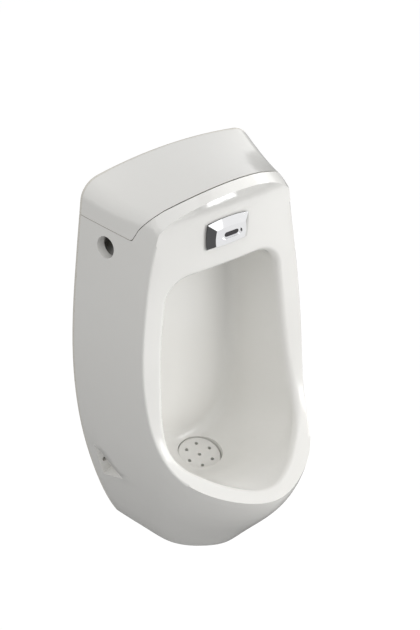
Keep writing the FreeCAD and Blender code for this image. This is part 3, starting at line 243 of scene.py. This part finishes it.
paint = Finish("floor_paint", Base_Color=(FLOOR_GREY, FLOOR_GREY, FLOOR_GREY, 1), Roughness=1.0)
plain = Wire(paint, paint.surface.outputs[0])
white = paint.node("Emission", None, {"Color": (1, 1, 1, 1), "Strength": FLOOR_GLOW})
across, along = paint.axis("X") - PAINTED_POOL_CENTRE[0], paint.axis("Y") - PAINTED_POOL_CENTRE[1]
reach = paint.node("Math", {"operation": "SQRT"}, {0: across * across + along * along})
past_painted_pool = paint.node("MapRange", None, {"Value": reach, "From Min": PAINTED_POOL_RADIUS,
                                       "From Max": PAINTED_POOL_RADIUS + PAINTED_POOL_FADE})
# Painted light: a glowing disc and a painted dark surround, seen only by glossy rays.
painted_pool = paint.blend(past_painted_pool, [PAINTED_POOL_BRIGHT] * 3, [PAINTED_DARK_BEYOND] * 3)
painted_floor_light = paint.node("Emission", None, {"Color": painted_pool})
white_share = paint.rays("Camera", "Transmission") * (1 - SHADOW_SHARE)
direct = paint.node("MixShader", None, {0: white_share, 1: plain, 2: white})
shown = paint.node("MixShader", None, {0: paint.rays("Glossy"), 1: direct, 2: painted_floor_light})
paint.tree.links.new(shown.socket, paint.tree.nodes["Material Output"].inputs["Surface"])

bpy.ops.object.select_all(action="DESELECT")
bpy.ops.mesh.primitive_plane_add(size=FLOOR_SIZE, location=(0, 0, 0))
floor = bpy.context.object
floor.name = "floor"
floor.data.transform(Matrix.Translation((0, 0, FLOOR_LEVEL)))
coat(floor, paint)

# The room around it. Seen directly, mirrored or through a clear piece it is plain white, but it
# lights the urinal only about half as strongly, so that the lamps still shape the glaze.
ROOM_FILL = 0.52
room = bpy.data.worlds.new("white_room")
bpy.context.scene.world = room
room.use_nodes = True
sky = Graph(room.node_tree, "Background")
sky.surface.inputs["Color"].default_value = (1, 1, 1, 1)
seen = sky.rays("Camera", "Glossy", "Transmission")
sky.feed("Strength", ROOM_FILL + seen * (1 - ROOM_FILL))

# The ceramic body. One slip-cast piece of vitreous china under a thick white glaze that runs
# smooth over every edge. Inside and behind, where no spray reaches, the fired clay is bare.
GLAZE_WARM = (0.805, 0.795, 0.765)
GLAZE_COOL = (0.83, 0.825, 0.80)
GLAZE_ROUGHNESS, GLAZE_SPREAD = 0.10, 0.06
GLAZE_RIPPLE = 0.0003
RIPPLE_STRENGTH = 0.25
CLAY = (0.70, 0.68, 0.63)
CLAY_SPECK = (0.60, 0.57, 0.51)
SPECK_ABOVE = 0.62              # the noise level over which the clay has a speck
CLAY_ROUGHER = 0.6
WIPED_EDGE = -0.004             # the glaze is wiped off this close to the wall
WIPE_WAVER = 0.002              # and the wiped line wavers by this much
ARRIS_ROUND = 0.0032
ARRIS_BEND = math.radians(28)
ARRIS_BACK, ARRIS_TOP = -0.125, 0.045       # it lies in front of and below these
RIM_INSIDE, LIP_INSIDE = 0.118, -0.235      # and outside the bowl's own edge
OFF_CENTRE = 0.02
FACING, TILTED = 0.5, 0.3                   # how far the faces on its two sides are turned
CERAMIC_CREASE = 32             # degrees, over which an edge stays sharp
MERGE_DISTANCE = 0.00002
SPRAY_WAYS = 64                 # the ways that spray may come from, spread over a sphere
SPRAY_TURN = 2.39996            # radians from one of them to the next
SPRAY_BEHIND = 0.3              # none comes from further back than this
SPRAY_GRAZING = 0.08
FACES_WALL = 0.9
RAY_START = 0.0004


def glaze_finish(name):
    glaze = Finish(name, IOR=1.5)
    near_wall = glaze.axis("Y") + glaze.noise(scale=60) * WIPE_WAVER
    bare = glaze.node("Attribute", {"attribute_name": "unglazed"}, output="Fac")
    bare = bare.highest(near_wall > WIPED_EDGE + WIPE_WAVER / 2)
    tint = glaze.blend(glaze.noise(scale=5, detail=3), GLAZE_WARM, GLAZE_COOL)
    clay = glaze.blend(glaze.noise(scale=420) > SPECK_ABOVE, CLAY, CLAY_SPECK)
    glaze.colour(bare, tint, clay)
    glossy = GLAZE_ROUGHNESS + glaze.noise(scale=18) * GLAZE_SPREAD
    glaze.feed("Roughness", glossy + bare * CLAY_ROUGHER)
    ripple = glaze.noise(scale=45, detail=1) * (1 - bare)
    grit = glaze.noise(scale=900, detail=3) * bare
    glaze.relief(ripple + grit, GLAZE_RIPPLE, RIPPLE_STRENGTH)
    return glaze


glaze = glaze_finish("white_glaze")


def make_active(piece):
    """Makes a piece the one that Blender's operators work on."""
    bpy.ops.object.select_all(action="DESELECT")
    piece.select_set(True)
    bpy.context.view_layer.objects.active = piece


def merged_copy(node, name):
    """A CAD node's shape as a piece of its own, its triangles joined along their edges."""
    mesh = cad[node].data.copy()
    for old in ("custom_normal", "sharp_edge", "sharp_face"):
        if old in mesh.attributes:
            mesh.attributes.remove(mesh.attributes[old])
    piece = add_object(name, mesh)
    work = bmesh.new()
    work.from_mesh(mesh)
    bmesh.ops.remove_doubles(work, verts=work.verts, dist=MERGE_DISTANCE)
    work.to_mesh(mesh)
    work.free()
    make_active(piece)
    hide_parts(node)
    return piece


def smooth_skin(piece, crease):
    """Smooth shading that keeps flat places flat and breaks at edges over the crease angle."""
    bpy.ops.object.shade_smooth_by_angle(angle=math.radians(crease))
    weighted = piece.modifiers.new("weighted", "WEIGHTED_NORMAL")
    weighted.keep_sharp = True
    weighted.weight = 100
    weighted.mode = "FACE_AREA_WITH_ANGLE"
    bpy.ops.object.modifier_apply(modifier="weighted")


def round_edges(piece, wanted, radius, segments=3):
    """Rounds the edges that wanted(edge) picks."""
    work = bmesh.new()
    work.from_mesh(piece.data)
    picked = work.edges.layers.float.new("bevel_weight_edge")
    for edge in work.edges:
        if len(edge.link_faces) == 2 and wanted(edge):
            edge[picked] = 1.0
    work.to_mesh(piece.data)
    work.free()
    soften = piece.modifiers.new("soften", "BEVEL")
    soften.width = radius
    soften.segments = segments
    soften.limit_method = "WEIGHT"
    soften.use_clamp_overlap = False
    bpy.ops.object.modifier_apply(modifier="soften")


def spray_ways():
    """The directions that glaze is sprayed from: the front, the sides, above and below."""
    ways = []
    for k in range(SPRAY_WAYS):
        height = 1 - (2 * k + 1) / SPRAY_WAYS
        level = math.sqrt(1 - height * height)
        turn = SPRAY_TURN * k
        ways.append(Vector((level * math.cos(turn), level * math.sin(turn), height)))
    return [way for way in ways if way.y < SPRAY_BEHIND]


def mark_unglazed(piece, shells):
    """Marks the faces that no spray reaches past these shells."""
    corners, faces = [], []
    for shell in shells:
        start = len(corners)
        corners += [v.co.copy() for v in shell.data.vertices]
        faces += [[start + k for k in face.vertices] for face in shell.data.polygons]
    tree = BVHTree.FromPolygons(corners, faces)
    ways = spray_ways()
    marks = []
    for face in piece.data.polygons:
        start = face.center + face.normal * RAY_START
        reached = face.normal.y < FACES_WALL and any(
            face.normal.dot(way) > SPRAY_GRAZING and tree.ray_cast(start, way)[0] is None
            for way in ways)
        marks.append(0.0 if reached else 1.0)
    bare = piece.data.attributes.new("unglazed", "FLOAT", "FACE")
    bare.data.foreach_set("value", marks)


def is_front_arris(edge):
    """Picks the sharp edge where the sides and the underside meet the front."""
    a, b = (face.normal for face in edge.link_faces)
    forward, aside = (a, b) if a.y < b.y else (b, a)
    middle = (edge.verts[0].co + edge.verts[1].co) / 2
    bent = edge.calc_face_angle(0) > ARRIS_BEND
    in_front = middle.y < ARRIS_BACK and middle.z < ARRIS_TOP
    off_centre = abs(middle.x) > abs(aside.x) * OFF_CENTRE
    from_side = abs(aside.x) > FACING or aside.z < -TILTED
    to_front = forward.y < -FACING or forward.z > TILTED
    outside = abs(middle.x) > RIM_INSIDE or middle.y < LIP_INSIDE
    return bent and in_front and off_centre and from_side and to_front and outside


body = merged_copy("body", "ceramic_body")
mark_unglazed(body, [body, cad["lid"]])
round_edges(body, is_front_arris, ARRIS_ROUND)
smooth_skin(body, CERAMIC_CREASE)
coat(body, glaze)
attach(body, "urinal")

# The ceramic lid. A separate casting of the same ware that lies on the body's ledge on rubber
# pads and lifts straight off. Its inside is bare clay.
lid = merged_copy("lid", "ceramic_lid")
mark_unglazed(lid, [body, lid])
smooth_skin(lid, CERAMIC_CREASE)
coat(lid, glaze)
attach(lid, "lid")


def dress(finish, *nodes):
    """Gives CAD nodes, which keep their own shape, a finish."""
    for node in nodes:
        for holder in cad[node].material_slots:
            holder.material = finish.material


rubber = Finish("black_rubber", IOR=1.5)
rubber.mottle((0.012, 0.012, 0.012), (0.035, 0.034, 0.033), scale=90, detail=4)
rubber.wear(smoothest=0.62, spread=0.2, scale=240)
rubber.texture(scale=1600, depth=0.0001, strength=0.4)
dress(rubber, "lid_pads")

# The sensor. A bright chromed cover with bevelled sides stands on the front panel over a black
# rubber gasket. Behind the dark window in its dish sit two eyes on a green circuit board.
COVER_CREASE = 20               # degrees
chrome = Finish("bright_chrome", Metallic=1.0)
chrome.mottle((0.80, 0.80, 0.81), (0.86, 0.86, 0.87), scale=30)
chrome.wear(smoothest=0.035, spread=0.05, scale=60, detail=3)
chrome.texture(scale=350, depth=0.00004, strength=0.1)
cover = merged_copy("sensor_cover", "chrome_cover")
smooth_skin(cover, COVER_CREASE)
coat(cover, chrome)
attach(cover, "urinal")

pane = Finish("dark_window", IOR=1.55)
pane.mottle((0.006, 0.005, 0.008), (0.018, 0.012, 0.018), scale=200)
pane.wear(smoothest=0.06, spread=0.05, scale=400)
dress(pane, "sensor_window")
dress(rubber, "sensor_gasket")

black_plastic = Finish("black_moulded_plastic", IOR=1.46)
black_plastic.mottle((0.022, 0.022, 0.025), (0.036, 0.036, 0.040), scale=35, detail=3)
black_plastic.wear(smoothest=0.38, spread=0.16, scale=300)
black_plastic.texture(scale=1900, depth=0.00008, strength=0.35)
dress(black_plastic, "sensor_housing")

board = Finish("lacquered_board", IOR=1.5)
tracks = board.bricks(scale=260, mortar=0.12, stretch=(1, 1, 1.6))
board.colour(tracks, (0.012, 0.13, 0.045), (0.10, 0.30, 0.11))
board.wear(smoothest=0.24, spread=0.1, scale=300)
board.relief(tracks, depth=0.00005, strength=0.6)
dress(board, "sensor_board")

resin = Finish("eye_resin", IOR=1.56)
resin.mottle((0.02, 0.012, 0.03), (0.07, 0.03, 0.08), scale=500)
resin.wear(smoothest=0.08, spread=0.06, scale=700)
dress(resin, "sensor_eyes")

steel = Finish("plain_steel", Metallic=1.0)
drawn = steel.noise(scale=140, detail=4, stretch=(1, 1, 14))
steel.brush(drawn, (0.48, 0.48, 0.48), (0.66, 0.66, 0.65), smoothest=0.26, spread=0.2,
            depth=0.00005, strength=0.4)
dress(steel, "sensor_clamp", "sensor_studs", "sensor_wing_nuts")

sheath = Finish("lead_sheath", IOR=1.5)
sheath.mottle((0.015, 0.015, 0.016), (0.034, 0.034, 0.034), scale=160, detail=3)
sheath.wear(smoothest=0.42, spread=0.15, scale=500)
sheath.texture(scale=1200, depth=0.00006, strength=0.4)
dress(sheath, "sensor_lead")

# The water group on the deck. A nickel plated stop valve with a chromed lever feeds a moulded
# solenoid valve through a union; a bent steel tube leads on to the spud in the bowl's ceiling.
nickel = Finish("nickel_plated_brass", Metallic=1.0)
turned = nickel.noise(scale=110, detail=3, stretch=(1, 10, 1))
nickel.brush(turned, (0.58, 0.55, 0.49), (0.72, 0.69, 0.62), smoothest=0.18, spread=0.2,
             depth=0.00004, strength=0.35)
dress(nickel, "stop_valve", "union_nut", "tube_nut_valve", "tube_nut_spud")
dress(chrome, "stop_lever")
dress(rubber, "union_washer", "diaphragm")
dress(black_plastic, "valve_body", "bonnet", "coil")
dress(steel, "coil_nut", "bonnet_screws", "plunger", "supply_tube")

gauze = Finish("filter_gauze", Metallic=1.0)
gauze.colour(gauze.bricks(scale=700, mortar=0.25), (0.10, 0.10, 0.10), (0.62, 0.62, 0.60))
gauze.wear(smoothest=0.30, spread=0.2, scale=300)
dress(gauze, "inlet_filter")

# The plunger's return spring. It is wound from fine steel wire and stands between the plunger and
# the coil nut, inside the core tube. In the real valve it shortens when the solenoid lifts the
# plunger; here it is one fixed coil.
SPRING_AXIS = (0.060, -0.094)
SPRING_LOW, SPRING_HIGH = 0.0619, 0.0757
SPRING_RADIUS, SPRING_WIRE = 0.0039, 0.00036
SPRING_TURNS, TURN_STEPS = 7, 28
WIRE_CREASE = 50                # degrees
winding = bpy.data.curves.new("plunger_spring_wire", "CURVE")
winding.dimensions = "3D"
winding.bevel_depth = SPRING_WIRE
winding.bevel_resolution = 2
winding.use_fill_caps = True
run = winding.splines.new("POLY")
steps = SPRING_TURNS * TURN_STEPS
run.points.add(steps)
for k in range(steps + 1):
    share = k / steps
    rise = SPRING_WIRE + (SPRING_HIGH - SPRING_LOW - 2 * SPRING_WIRE) * share
    turn = 2 * math.pi * SPRING_TURNS * share
    run.points[k].co = (SPRING_AXIS[0] + SPRING_RADIUS * math.cos(turn),
                        SPRING_AXIS[1] + SPRING_RADIUS * math.sin(turn), SPRING_LOW + rise, 1)
make_active(add_object("wound_spring", winding))
bpy.ops.object.convert(target="MESH")
spring = bpy.context.object
bpy.ops.object.shade_smooth_by_angle(angle=math.radians(WIRE_CREASE))
coat(spring, steel)
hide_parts("plunger_spring")
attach(spring, "urinal")
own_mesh(spring)

# The spud. A nickel plated tube through the bowl's ceiling, held by a nut over a plastic
# washer; below it a chromed spreader fans the water over the bowl's back.
white_plastic = Finish("white_moulded_plastic", IOR=1.46)
white_plastic.mottle((0.72, 0.72, 0.69), (0.77, 0.77, 0.745), scale=12, detail=3)
white_plastic.wear(smoothest=0.32, spread=0.14, scale=200)
white_plastic.texture(scale=1400, depth=0.00008, strength=0.3)
dress(nickel, "spud", "spud_nut")
dress(rubber, "spud_gasket")
dress(white_plastic, "spud_washer")
dress(chrome, "spreader")

# The battery box. A black moulded box on the deck with a lift-off cover holds four cells in
# printed wraps, dark at one end and coppery at the other, between sprung steel contacts.
CELL_SPLIT = -0.066             # where the wrap changes from its dark end to its coppery end
COPPER = (0.62, 0.36, 0.20)
COPPER_METALLIC = 0.8
dress(black_plastic, "battery_box", "battery_cover")
wrap = Finish("cell_wrap", IOR=1.5, Roughness=0.28)
copper_end = wrap.axis("X") > CELL_SPLIT
dark_end = wrap.blend(wrap.noise(scale=60), (0.03, 0.035, 0.04), (0.05, 0.055, 0.06))
wrap.colour(copper_end, dark_end, COPPER)
wrap.feed("Metallic", copper_end * COPPER_METALLIC)
wrap.texture(scale=900, depth=0.00004, strength=0.3)
dress(wrap, "battery_cells")
dress(steel, "battery_contacts")
dress(sheath, "battery_lead")

# The strainer cover. A loose glazed disc of the same ware as the body, pierced by seven holes,
# that lies in its round seat in the bowl's floor over the waste and lifts out.
strainer = merged_copy("strainer", "strainer_cover")
smooth_skin(strainer, CERAMIC_CREASE)
coat(strainer, glaze)
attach(strainer, "strainer")

# The waste. A white plastic flanged tail in the sump, its nut and washer, and a trap that a
# slip nut and seal join to it, whose outlet ends in a rubber ring at the wall.
dress(white_plastic, "waste_fitting", "waste_nut", "waste_washer", "trap", "trap_nut")
dress(rubber, "waste_gasket", "trap_seal", "wall_seal")

# The hangers. Two pressed steel brackets, screwed to the wall, on which the body's back hangs by
# the slots that are cast in it.
dress(steel, "hanger_bracket_left", "hanger_bracket_right")
